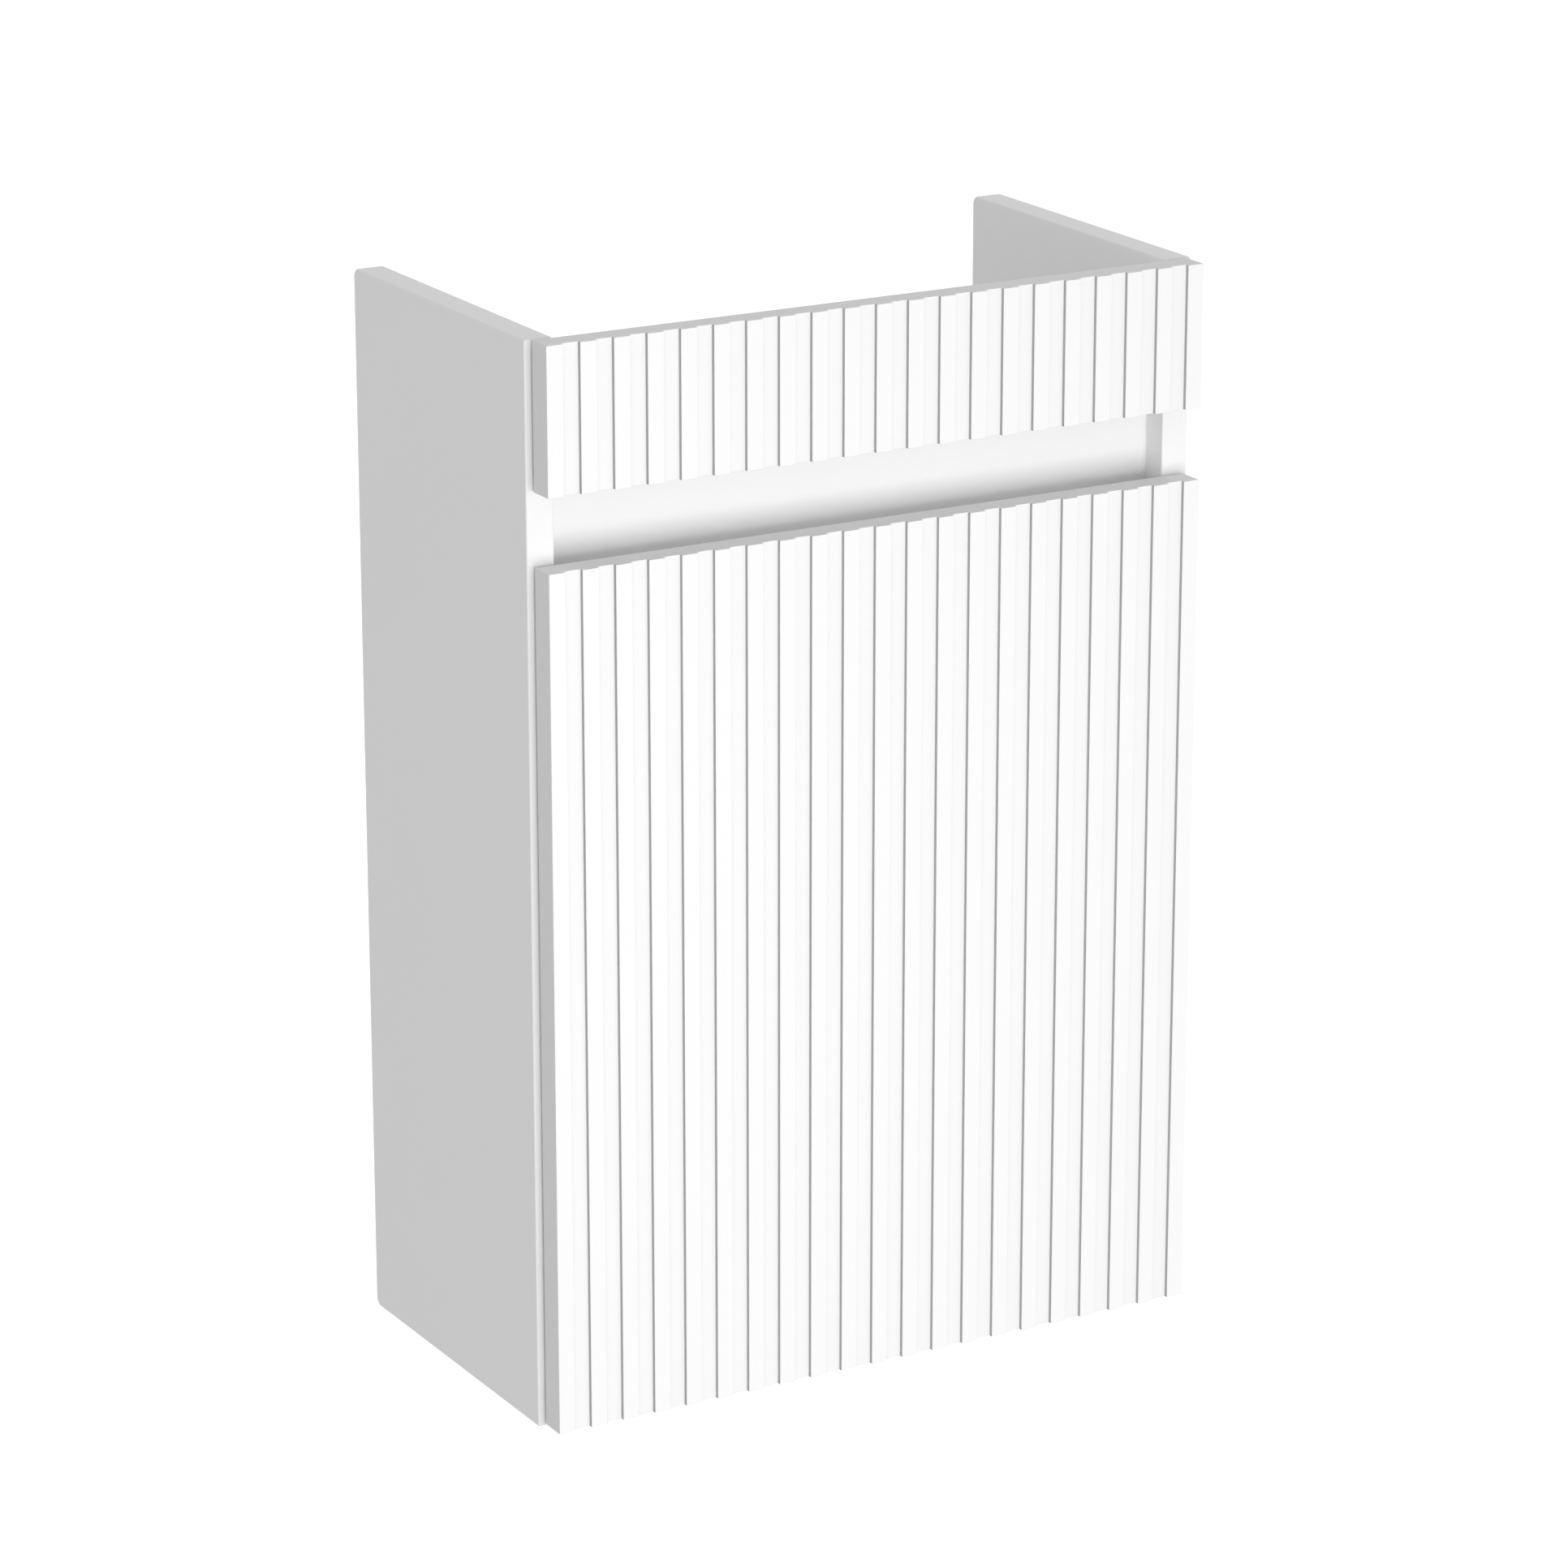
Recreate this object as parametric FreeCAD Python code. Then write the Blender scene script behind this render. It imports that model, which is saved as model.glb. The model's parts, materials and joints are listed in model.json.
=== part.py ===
import FreeCAD, Part
import cmath
import math
import os

# A narrow wall-hung bathroom cabinet with a fluted door under a fixed fluted panel.
# The wall is the plane Y = 0 and the front faces -Y. X = 0 is the middle of the cabinet,
# Z = 0 its underside. All sizes are in millimetres.

# Overall sizes
cabinet_width = 406.0        # over the outer faces of the side panels
cabinet_height = 600.0
carcass_depth = 200.0        # from the wall to the front edges of the side panels
board = 16.0                 # carcass boards
front_board = 16.0           # fluted door and fixed panel, over the ridges
front_gap = 2.0              # between the carcass and the backs of the fluted fronts
front_inset = 3.5            # from a side panel's outer face to a front's edge
fixed_panel_height = 80.0
channel_height = 40.0        # open finger channel between the fixed panel and the door
door_lift = 1.5              # the door ends this far above the cabinet's underside
overrun = 5.0                # cutting bodies run past the faces that they cut by this much
close_fit = 0.1              # around dowels, pins and screws in their holes
hole_end_room = 1.0          # blind holes are this much deeper than what they hold

# Soft edges of the boards
side_corner_radius = 5.0     # at the wall
side_edge_radius = 1.0
board_edge_radius = 0.8
front_corner_radius = 0.8

# Fluting
ridge_count = 21
flute_depth = 2.3

# Rails and bottom
hanging_rail_height = 100.0
hanging_rail_drop = 75.0     # below the top of the side panels
lower_rail_height = 70.0
top_rail_height = 70.0
top_rail_drop = 5.0          # below the top of the side panels
channel_rail_reach = 40.0    # below the door's top edge
channel_rail_lap = 10.0      # height over which the channel rail covers the top rail

# Wall screw holes
wall_hole_radius = 3.5
wall_hole_spacing = 240.0
wall_hole_drop = 40.0        # below the hanging rail's top edge
lower_wall_hole_height = 48.0

# Shelf and its pins
shelf_height_share = 0.4     # of the cabinet's height
shelf_setback = 32.0         # behind the carcass's front plane
shelf_wall_gap = 43.0
shelf_side_gap = 1.0
shelf_pin_radius = 2.5
shelf_pin_depth = 10.0
shelf_tab_length = 9.0
shelf_tab_width = 8.0
shelf_tab_thickness = 2.0
shelf_pin_inset = 24.0       # from the shelf's front and back edges
shelf_hole_pitch = 32.0
shelf_holes_each_way = 2     # spare pin holes above and below the shelf

# Cam joints
cam_setback = 34.0           # from the board's end to the cam's axis
cam_radius = 7.5
cam_bore_depth = 12.7
cam_height = 11.8
cam_slot_radius = 4.0
cam_cross_width = 1.6
cam_cross_length = 8.0
cam_cross_depth = 2.0
bolt_thread_radius = 2.5
bolt_thread_length = 10.0
bolt_shank_radius = 3.0
bolt_neck_radius = 2.0
bolt_neck_length = 4.0
bolt_head_radius = 3.4
bolt_head_length = 2.5
bolt_hole_radius = 3.9
cap_radius = 8.8
cap_thickness = 1.2
cap_edge_radius = 0.5
cap_spigot_radius = 6.0
dowel_radius = 4.0
dowel_length = 34.0
dowel_side_depth = 10.0

# In the bottom panel: cams and dowels from the wall and from the carcass's front plane
bottom_cam_wall_distance = 50.0
bottom_cam_front_distance = 35.0
bottom_dowel_wall_distance = 80.0
bottom_dowel_front_distance = 65.0
bottom_rail_dowel_x = 60.0

# In each rail: cams and dowels up from its bottom edge
hanging_cam_rise = 25.0
hanging_dowel_rise = 65.0
lower_cam_rise = 48.0
lower_dowel_rise = 28.0
top_cam_rise = 47.0
top_dowel_rise = 20.0
channel_cam_rise = 25.0
channel_dowel_rise = 60.0

# Screws and spacers that hold the fixed panel
panel_screw_x = 110.0
panel_screw_drops = [52.0, 18.0]   # below the fixed panel's top
panel_screw_radius = 2.0
panel_screw_bite = 10.0
panel_screw_head_radius = 4.0
panel_screw_head_height = 2.4
panel_spacer_radius = 7.0
recess_width = 1.0
recess_length = 4.0
recess_depth = 1.2

# Door bumpers
bumper_radius = 4.5
bumper_inset = 9.5           # from the outer face of the side panel
bumper_end_distance = 30.0   # from the door's top and bottom edges
bumper_room = 0.1
bumper_dome = 0.6

# Hinges: places are measured from the hinge edge of the door and back from the door's back
hinge_end_distance = 100.0   # from the door's top and bottom edges to a hinge's middle
cup_edge_distance = 5.0
cup_radius = 17.5
cup_depth = 11.3
cup_wall = 1.0
cup_bore_room = 0.2
flange_thickness = 1.0
flange_lip = 1.2
flange_wing_radius = 6.0
flange_notch_depth = 2.0
cup_screw_spacing = 48.0
cup_screw_offset = 6.0
cup_screw_radius = 1.75
cup_screw_length = 12.0
cup_screw_head_radius = 3.4
cup_screw_head_height = 1.4
pin_radius = 1.25
pin_play = 0.08
deep_cup_pivot = [9.6, -6.1]
deep_arm_pivot = [36.0, 3.0]
outer_cup_pivot = [9.5, -1.0]
outer_arm_pivot = [36.2, 8.9]
deep_link_bow = 4.6
outer_link_bow = 0.6
link_half_width = 1.5
link_eye_radius = 2.2
slot_play = 0.12
slot_wall = 0.8
link_web = 0.8              # the outer link's web between its cheeks
link_web_start = 5.0        # from the arm pivot
link_web_end = 13.0
deep_link_half_height = 2.0
layer_gap = 0.3
outer_cheek = 1.4
ear_cheek = 1.2
ear_eye_radius = 2.1
arm_wall = 1.0
arm_tip_radius = 2.2
arm_top = 21.0               # arm's outer face over the side panel
arm_low = 7.0                # arm's open edge over the side panel
arm_bend = 20.0              # where the arm straightens, back from the door
arm_web_start = 14.5
arm_length = 64.0
plate_setback = 37.0         # plate screws behind the carcass's front plane
plate_screw_spacing = 32.0
plate_screw_radius = 2.5
plate_screw_depth = 12.0
plate_screw_head_radius = 4.2
plate_screw_head_height = 1.8
plate_thickness = 2.2
plate_wing_radius = 7.0
plate_body_height = 9.0
plate_body_margin = 4.0      # from the arm's bend and from its end to the plate's body
adjust_screw_margin = 11.0   # from the arm's bend and from its end
adjust_screw_radius = 2.8
adjust_screw_bite = 4.0
adjust_head_radius = 3.6
adjust_head_height = 0.8
spring_thickness = 0.5
spring_half_width = 1.6
spring_start = 16.5
spring_end = 26.0
spring_curl_radius = 1.1
door_opening_degrees = 95
deep_link_ratio = -0.171     # turn of each link for one degree of the door's turn
outer_link_ratio = -0.34

# Worked-out places
half_width = cabinet_width / 2
half_inner = half_width - board
front_width = cabinet_width - 2 * front_inset
half_front = front_width / 2
carcass_front = -carcass_depth
front_back_plane = carcass_front - front_gap
front_face_plane = front_back_plane - front_board
fixed_panel_bottom = cabinet_height - fixed_panel_height
door_top = fixed_panel_bottom - channel_height
top_rail_top = cabinet_height - top_rail_drop
top_rail_bottom = top_rail_top - top_rail_height
hanging_rail_top = cabinet_height - hanging_rail_drop
hanging_rail_bottom = hanging_rail_top - hanging_rail_height
channel_rail_top = top_rail_bottom + channel_rail_lap
channel_rail_bottom = door_top - channel_rail_reach
channel_face_plane = carcass_front + board
shelf_height = cabinet_height * shelf_height_share
shelf_front = carcass_front + shelf_setback
shelf_back = -shelf_wall_gap
hanging_hole_height = hanging_rail_top - wall_hole_drop
hinge_heights = {
    "lower": door_lift + hinge_end_distance,
    "upper": door_top - hinge_end_distance,
}
cup_middle = cup_edge_distance + cup_radius
side_inner = board - front_inset
outer_cheek_low = deep_link_half_height + layer_gap
outer_cheek_high = outer_cheek_low + outer_cheek
ear_low = outer_cheek_high + layer_gap
ear_high = ear_low + ear_cheek
arm_inside = ear_high + layer_gap
arm_outside = arm_inside + arm_wall
adjust_screw_places = [arm_bend + adjust_screw_margin, arm_length - adjust_screw_margin]

right = FreeCAD.Vector(1, 0, 0)
back = FreeCAD.Vector(0, 1, 0)
up = FreeCAD.Vector(0, 0, 1)


def point(x, y, z):
    return FreeCAD.Vector(x, y, z)


def box(x0, x1, y0, y1, z0, z1):
    return Part.makeBox(x1 - x0, y1 - y0, z1 - z0, point(x0, y0, z0))


def rod(start, direction, length, radius):
    return Part.makeCylinder(radius, length, start, direction)


def save(name, solids):
    shape = solids[0] if len(solids) == 1 else Part.makeCompound(solids)
    shape.exportStep("parts/" + name + ".step")


def cut_all(shape, cutters):
    return shape.cut(Part.makeCompound(cutters)) if cutters else shape


def lengthwise_board(x0, x1, y0, y1, z0, z1):
    # A board between the side panels: its long edges are eased, but not where it meets the wall
    body = box(x0, x1, y0, y1, z0, z1)
    eased = [edge for edge in body.Edges if edge.BoundBox.XLength > (x1 - x0) / 2
             and edge.CenterOfMass.y < -board_edge_radius]
    return body.makeFillet(board_edge_radius, eased)


# Cam joints: a place is a distance from the wall, a height and the way the cam's bore opens
def cam_centre(side, place):
    depth, height, _ = place
    return point(side * (half_inner - cam_setback), -depth, height)


def cam_face(side, place):
    return cam_centre(side, place) + place[2] * (board / 2)


def cam_board_cutters(side, place):
    face = cam_face(side, place)
    out = place[2]
    end = point(side * (half_inner + overrun), -place[0], place[1])
    bore = rod(face - out * cam_bore_depth, out, cam_bore_depth + overrun, cam_radius + close_fit)
    bolt_hole = rod(end, right * -side, cam_setback + overrun, bolt_hole_radius)
    return [bore, bolt_hole]


def bolt_side_cutter(side, place):
    start = point(side * (half_inner - overrun), -place[0], place[1])
    return rod(start, right * side, bolt_thread_length + overrun, bolt_thread_radius + close_fit)


def cross_recess(top, out, length, width, depth):
    # A screwdriver cross sunk into a face that looks along out
    one_way = box(-length / 2, length / 2, -width / 2, width / 2, -depth, overrun)
    other_way = box(-width / 2, width / 2, -length / 2, length / 2, -depth, overrun)
    cross = one_way.fuse(other_way)
    cross.Placement = FreeCAD.Placement(top, FreeCAD.Rotation(up, out))
    return cross


def cam_nut(side, place):
    out = place[2]
    base = cam_face(side, place) - out * cam_bore_depth
    body = rod(base, out, cam_height, cam_radius)
    mouth = cam_centre(side, place) + right * side * (cam_radius + overrun)
    slot = rod(mouth, right * -side, cam_radius + overrun + bolt_head_length, cam_slot_radius)
    cross = cross_recess(base + out * cam_height, out, cam_cross_length, cam_cross_width, cam_cross_depth)
    return body.cut(slot).cut(cross)


def cam_bolt(side, place):
    # Thread in the side panel, then shank, neck and the head inside the cam
    inward = right * -side
    start = point(side * (half_inner + bolt_thread_length), -place[0], place[1])
    shank_length = cam_setback - bolt_neck_length - bolt_head_length
    stations = [
        (bolt_thread_length, bolt_thread_radius),
        (shank_length, bolt_shank_radius),
        (bolt_neck_length, bolt_neck_radius),
        (bolt_head_length, bolt_head_radius),
    ]
    body = None
    for length, radius in stations:
        piece = rod(start, inward, length, radius)
        body = piece if body is None else body.fuse(piece)
        start = start + inward * length
    return body.removeSplitter()


def cam_cap(side, place):
    face = cam_face(side, place)
    out = place[2]
    lid = rod(face, out, cap_thickness, cap_radius)
    rim = [edge for edge in lid.Edges if (edge.CenterOfMass - face).dot(out) > cap_thickness / 2
           and edge.Length > cap_radius * math.pi]
    lid = lid.makeFillet(cap_edge_radius, rim)
    spigot_length = cam_bore_depth - cam_height - close_fit
    return lid.fuse(rod(face, out * -1, spigot_length, cap_spigot_radius))


def dowel(start, direction):
    return rod(start, direction, dowel_length, dowel_radius - close_fit)


def side_dowel(side, place):
    return dowel(point(side * (half_inner + dowel_side_depth), -place[0], place[1]), right * -side)


def side_dowel_cutters(side, place):
    # The first hole is in the side panel, the second in the end of the board
    foot = point(side * half_inner, -place[0], place[1])
    outward = right * side
    in_side = rod(foot - outward * overrun, outward,
                  overrun + dowel_side_depth + hole_end_room, dowel_radius)
    in_board = rod(foot + outward * overrun, outward * -1,
                   overrun + dowel_length - dowel_side_depth + hole_end_room, dowel_radius)
    return in_side, in_board


def screw(seat, direction, head_radius, head_height, shank_radius, shank_length):
    # The head stands on the seat and the shank runs along direction
    body = rod(seat, direction, shank_length, shank_radius)
    body = body.fuse(rod(seat, direction * -1, head_height, head_radius))
    top = seat - direction * head_height
    return body.cut(cross_recess(top, direction * -1, recess_length, recess_width, recess_depth))


# Where the boards meet the side panels
middle = board / 2
front_middle = carcass_depth - board / 2
channel_middle = carcass_depth - board - board / 2
cams = {
    "bottom": [(bottom_cam_wall_distance, middle, up),
               (carcass_depth - bottom_cam_front_distance, middle, up)],
    "hanging": [(middle, hanging_rail_bottom + hanging_cam_rise, back * -1)],
    "lower": [(middle, lower_cam_rise, back * -1)],
    "top": [(front_middle, top_rail_bottom + top_cam_rise, back)],
    "channel": [(channel_middle, channel_rail_bottom + channel_cam_rise, back)],
}
dowels = {
    "bottom": [(bottom_dowel_wall_distance, middle),
               (carcass_depth - bottom_dowel_front_distance, middle)],
    "hanging": [(middle, hanging_rail_bottom + hanging_dowel_rise)],
    "lower": [(middle, lower_dowel_rise)],
    "top": [(front_middle, top_rail_bottom + top_dowel_rise)],
    "channel": [(channel_middle, channel_rail_bottom + channel_dowel_rise)],
}
all_cams = [place for places in cams.values() for place in places]
all_dowels = [place for places in dowels.values() for place in places]


def end_cutters(name):
    cutters = []
    for side in (-1, 1):
        for place in cams[name]:
            cutters += cam_board_cutters(side, place)
        for place in dowels[name]:
            cutters.append(side_dowel_cutters(side, place)[1])
    return cutters


def rail_dowel_cutter(x, direction, depth):
    # Hole for a dowel between the bottom panel and the lower back rail
    start = point(x, -board, middle) - direction * overrun
    return rod(start, direction, overrun + depth + hole_end_room, dowel_radius)


def wall_holes(height):
    return [rod(point(side * wall_hole_spacing / 2, overrun, height), back * -1, board + 2 * overrun,
                wall_hole_radius) for side in (-1, 1)]


def bottom_panel():
    body = lengthwise_board(-half_inner, half_inner, carcass_front, -board, 0, board)
    cutters = end_cutters("bottom")
    for side in (-1, 1):
        cutters.append(rail_dowel_cutter(side * bottom_rail_dowel_x, back * -1,
                                         dowel_length - dowel_side_depth))
    return cut_all(body, cutters)


def lower_back_rail():
    body = lengthwise_board(-half_inner, half_inner, -board, 0, 0, lower_rail_height)
    cutters = end_cutters("lower") + wall_holes(lower_wall_hole_height)
    for side in (-1, 1):
        cutters.append(rail_dowel_cutter(side * bottom_rail_dowel_x, back, dowel_side_depth))
    return cut_all(body, cutters)


def hanging_rail():
    body = lengthwise_board(-half_inner, half_inner, -board, 0, hanging_rail_bottom, hanging_rail_top)
    return cut_all(body, end_cutters("hanging") + wall_holes(hanging_hole_height))


def fixed_panel_screw_places():
    return [(side * panel_screw_x, cabinet_height - drop) for side in (-1, 1) for drop in panel_screw_drops]


def front_top_rail():
    body = lengthwise_board(-half_inner, half_inner, carcass_front, carcass_front + board,
                            top_rail_bottom, top_rail_top)
    cutters = end_cutters("top")
    for x, height in fixed_panel_screw_places():
        start = point(x, carcass_front - overrun, height)
        cutters.append(rod(start, back, board + 2 * overrun, panel_screw_radius + close_fit))
    return cut_all(body, cutters)


def channel_rail():
    body = lengthwise_board(-half_inner, half_inner, channel_face_plane, channel_face_plane + board,
                            channel_rail_bottom, channel_rail_top)
    return cut_all(body, end_cutters("channel"))


# Shelf
shelf_pin_height = shelf_height - shelf_tab_thickness - shelf_pin_radius
shelf_pin_ys = [shelf_front + shelf_pin_inset, shelf_back - shelf_pin_inset]


def shelf_board():
    half_length = half_inner - shelf_side_gap
    return lengthwise_board(-half_length, half_length, shelf_front, shelf_back,
                            shelf_height, shelf_height + board)


def shelf_pin(side, y):
    start = point(side * (half_inner + shelf_pin_depth), y, shelf_pin_height)
    peg = rod(start, right * -side, shelf_pin_depth + shelf_tab_length, shelf_pin_radius)
    ends = sorted([side * half_inner, side * (half_inner - shelf_tab_length)])
    tab = box(ends[0], ends[1], y - shelf_tab_width / 2, y + shelf_tab_width / 2,
              shelf_pin_height, shelf_height)
    return peg.fuse(tab)


def shelf_pin_holes(side):
    holes = []
    for y in shelf_pin_ys:
        for step in range(-shelf_holes_each_way, shelf_holes_each_way + 1):
            start = point(side * (half_inner - overrun), y, shelf_pin_height + step * shelf_hole_pitch)
            holes.append(rod(start, right * side, overrun + shelf_pin_depth + hole_end_room,
                             shelf_pin_radius + close_fit))
    return holes


# Side panels
def plate_screw_places():
    y = carcass_front + plate_setback
    return [(y, height + way * plate_screw_spacing / 2)
            for height in hinge_heights.values() for way in (-1, 1)]


def side_panel(side):
    ends = sorted([side * half_inner, side * half_width])
    body = box(ends[0], ends[1], carcass_front, 0, 0, cabinet_height)
    wall_corners = [edge for edge in body.Edges
                    if edge.BoundBox.XLength > board / 2 and edge.CenterOfMass.y > -side_corner_radius]
    body = body.makeFillet(side_corner_radius, wall_corners)
    # Every other edge, but not the seams where the rounded corners run into the flat faces
    edges = [edge for edge in body.Edges
             if edge.BoundBox.XLength < board / 2 or edge.CenterOfMass.y < carcass_front + side_edge_radius]
    body = body.makeFillet(side_edge_radius, edges)
    cutters = shelf_pin_holes(side)
    cutters += [bolt_side_cutter(side, place) for place in all_cams]
    cutters += [side_dowel_cutters(side, place)[0] for place in all_dowels]
    if side > 0:
        for y, height in plate_screw_places():
            cutters.append(rod(point(half_inner - overrun, y, height), right,
                               overrun + plate_screw_depth + hole_end_room, plate_screw_radius))
    return cut_all(body, cutters)


# Fluted fronts
def fluted_front(bottom, top):
    strip_count = 2 * ridge_count - 1
    strip = front_width / strip_count
    outline = []
    for index in range(strip_count):
        y = front_face_plane if index % 2 == 0 else front_face_plane + flute_depth
        outline.append(point(-half_front + index * strip, y, bottom))
        outline.append(point(-half_front + (index + 1) * strip, y, bottom))
    outline.append(point(half_front, front_back_plane, bottom))
    outline.append(point(-half_front, front_back_plane, bottom))
    outline.append(outline[0])
    body = Part.Face(Part.makePolygon(outline)).extrude(point(0, 0, top - bottom))
    corners = [edge for edge in body.Edges
               if edge.BoundBox.ZLength > (top - bottom) / 2
               and abs(edge.CenterOfMass.x) > half_front - strip / 2]
    return body.makeFillet(front_corner_radius, corners)


def fixed_front_panel():
    cutters = []
    for x, height in fixed_panel_screw_places():
        start = point(x, front_back_plane + overrun, height)
        cutters.append(rod(start, back * -1, overrun + panel_screw_bite + hole_end_room,
                           panel_screw_radius + close_fit))
    return cut_all(fluted_front(fixed_panel_bottom, cabinet_height), cutters)


def fixed_panel_screw(x, height):
    length = board + front_gap + panel_screw_bite
    return screw(point(x, channel_face_plane, height), back * -1, panel_screw_head_radius,
                 panel_screw_head_height, panel_screw_radius, length)


def fixed_panel_spacer(x, height):
    start = point(x, carcass_front, height)
    ring = rod(start, back * -1, front_gap, panel_spacer_radius)
    return ring.cut(rod(start + back * overrun, back * -1, front_gap + 2 * overrun,
                        panel_screw_radius + close_fit))


def door_bumper(height):
    start = point(bumper_inset - half_width, carcass_front, height)
    thickness = front_gap - bumper_room
    body = rod(start, back * -1, thickness, bumper_radius)
    rim = [edge for edge in body.Edges if edge.CenterOfMass.y < carcass_front - thickness / 2
           and edge.Length > math.pi * bumper_radius]
    return body.makeFillet(bumper_dome, rim)


# Hinges. A flat place is (x, y): x from the door's hinge edge, y back from the door's back
def hinge_point(x, y, z):
    return point(half_front - x, front_back_plane + y, z)


def hinge_box(x0, x1, y0, y1, z0, z1):
    return box(half_front - x1, half_front - x0, front_back_plane + y0, front_back_plane + y1, z0, z1)


def disc(place, radius, z0, z1):
    return rod(hinge_point(place[0], place[1], z0), up, z1 - z0, radius)


def prism(places, z0, z1):
    corners = [hinge_point(x, y, z0) for x, y in places]
    return Part.Face(Part.makePolygon(corners + corners[:1])).extrude(point(0, 0, z1 - z0))


def capsule(first, last, radius, z0, z1):
    body = disc(first, radius, z0, z1)
    length = math.hypot(last[0] - first[0], last[1] - first[1])
    if length:
        sx = -(last[1] - first[1]) / length * radius
        sy = (last[0] - first[0]) / length * radius
        body = body.fuse(disc(last, radius, z0, z1))
        body = body.fuse(prism([(first[0] + sx, first[1] + sy), (last[0] + sx, last[1] + sy),
                                (last[0] - sx, last[1] - sy), (first[0] - sx, first[1] - sy)], z0, z1))
    return body


def bowed_strip(first, last, bow, half_width, z0, z1):
    # A strip along an arc that bulges to the right of the way from first to last
    length = math.hypot(last[0] - first[0], last[1] - first[1])
    ux = (last[0] - first[0]) / length
    uy = (last[1] - first[1]) / length
    radius = (length * length / 4 + bow * bow) / (2 * bow)
    half_turn = math.asin(length / 2 / radius)
    cx = (first[0] + last[0]) / 2 - uy * (radius - bow)
    cy = (first[1] + last[1]) / 2 + ux * (radius - bow)

    def on_arc(reach, turn):
        along = reach * math.sin(turn)
        out = reach * math.cos(turn)
        return hinge_point(cx + along * ux + out * uy, cy + along * uy - out * ux, z0)

    outer = [on_arc(radius + half_width, turn) for turn in (-half_turn, 0, half_turn)]
    inner = [on_arc(radius - half_width, turn) for turn in (half_turn, 0, -half_turn)]
    edges = [Part.Arc(*outer).toShape(), Part.LineSegment(outer[2], inner[0]).toShape(),
             Part.Arc(*inner).toShape(), Part.LineSegment(inner[2], outer[0]).toShape()]
    return Part.Face(Part.Wire(edges)).extrude(point(0, 0, z1 - z0))


outer_link_length = math.dist(outer_cup_pivot, outer_arm_pivot)
outer_link_way = (complex(*outer_arm_pivot) - complex(*outer_cup_pivot)) / outer_link_length


def on_outer_link(along, aside):
    # A place along the outer link from its cup pivot towards the arm, and to the left of that way
    place = complex(*outer_cup_pivot) + complex(along, aside) * outer_link_way
    return place.real, place.imag


def arm_pin_path():
    # Where the fixed arm pin runs in the outer link while the door opens, along and aside
    deep_cup, deep_arm = complex(*deep_cup_pivot), complex(*deep_arm_pivot)
    outer_cup, outer_arm = complex(*outer_cup_pivot), complex(*outer_arm_pivot)
    places = []
    for degrees in range(door_opening_degrees + 1):
        turn = math.radians(degrees)
        deep_now = deep_arm + (deep_cup - deep_arm) * cmath.exp(-1j * deep_link_ratio * turn)
        outer_now = deep_now + (outer_cup - deep_cup) * cmath.exp(-1j * turn)
        seen = (outer_arm - outer_now) * cmath.exp(1j * outer_link_ratio * turn)
        places.append(seen / outer_link_way)
    return places


def outer_slot():
    # The two ends of the slot's middle line and its half width
    places = arm_pin_path()
    ways = [place.real for place in places]
    asides = [place.imag for place in places]
    aside_middle = (min(asides) + max(asides)) / 2
    first = on_outer_link(min(ways), aside_middle)
    last = on_outer_link(max(ways), aside_middle)
    return first, last, pin_radius + (max(asides) - min(asides)) / 2 + slot_play


def layers(low, high, height):
    return [(height - high, height - low), (height + low, height + high)]


def deep_link(height):
    z0, z1 = height - deep_link_half_height, height + deep_link_half_height
    body = bowed_strip(deep_cup_pivot, deep_arm_pivot, deep_link_bow, link_half_width, z0, z1)
    for pivot in (deep_cup_pivot, deep_arm_pivot):
        body = body.fuse(disc(pivot, link_eye_radius, z0, z1))
    holes = [disc(pivot, pin_radius + pin_play, z0 - overrun, z1 + overrun)
             for pivot in (deep_cup_pivot, deep_arm_pivot)]
    return cut_all(body, holes).removeSplitter()


def outer_link(height):
    # Two cheeks with a web between them; the deep link passes between the cheeks
    first, last, slot_radius = outer_slot()
    web_far = outer_link_length - link_web_start
    web_near = outer_link_length - link_web_end
    body = prism([on_outer_link(web_near, 0), on_outer_link(web_far, 0),
                  on_outer_link(web_far, link_web), on_outer_link(web_near, link_web)],
                 height - outer_cheek_high, height + outer_cheek_high)
    for z0, z1 in layers(outer_cheek_low, outer_cheek_high, height):
        cheek = bowed_strip(outer_cup_pivot, outer_arm_pivot, outer_link_bow, link_half_width, z0, z1)
        body = body.fuse(cheek)
        body = body.fuse(disc(outer_cup_pivot, link_eye_radius, z0, z1))
        body = body.fuse(capsule(first, last, slot_radius + slot_wall, z0, z1))
    low, high = height - arm_outside, height + arm_outside
    slot = capsule(first, last, slot_radius, low, high)
    body = body.cut(slot).cut(disc(outer_cup_pivot, pin_radius + pin_play, low, high))
    return body.removeSplitter()


def cup_screw_heights(height):
    return [height + way * cup_screw_spacing / 2 for way in (-1, 1)]


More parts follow.
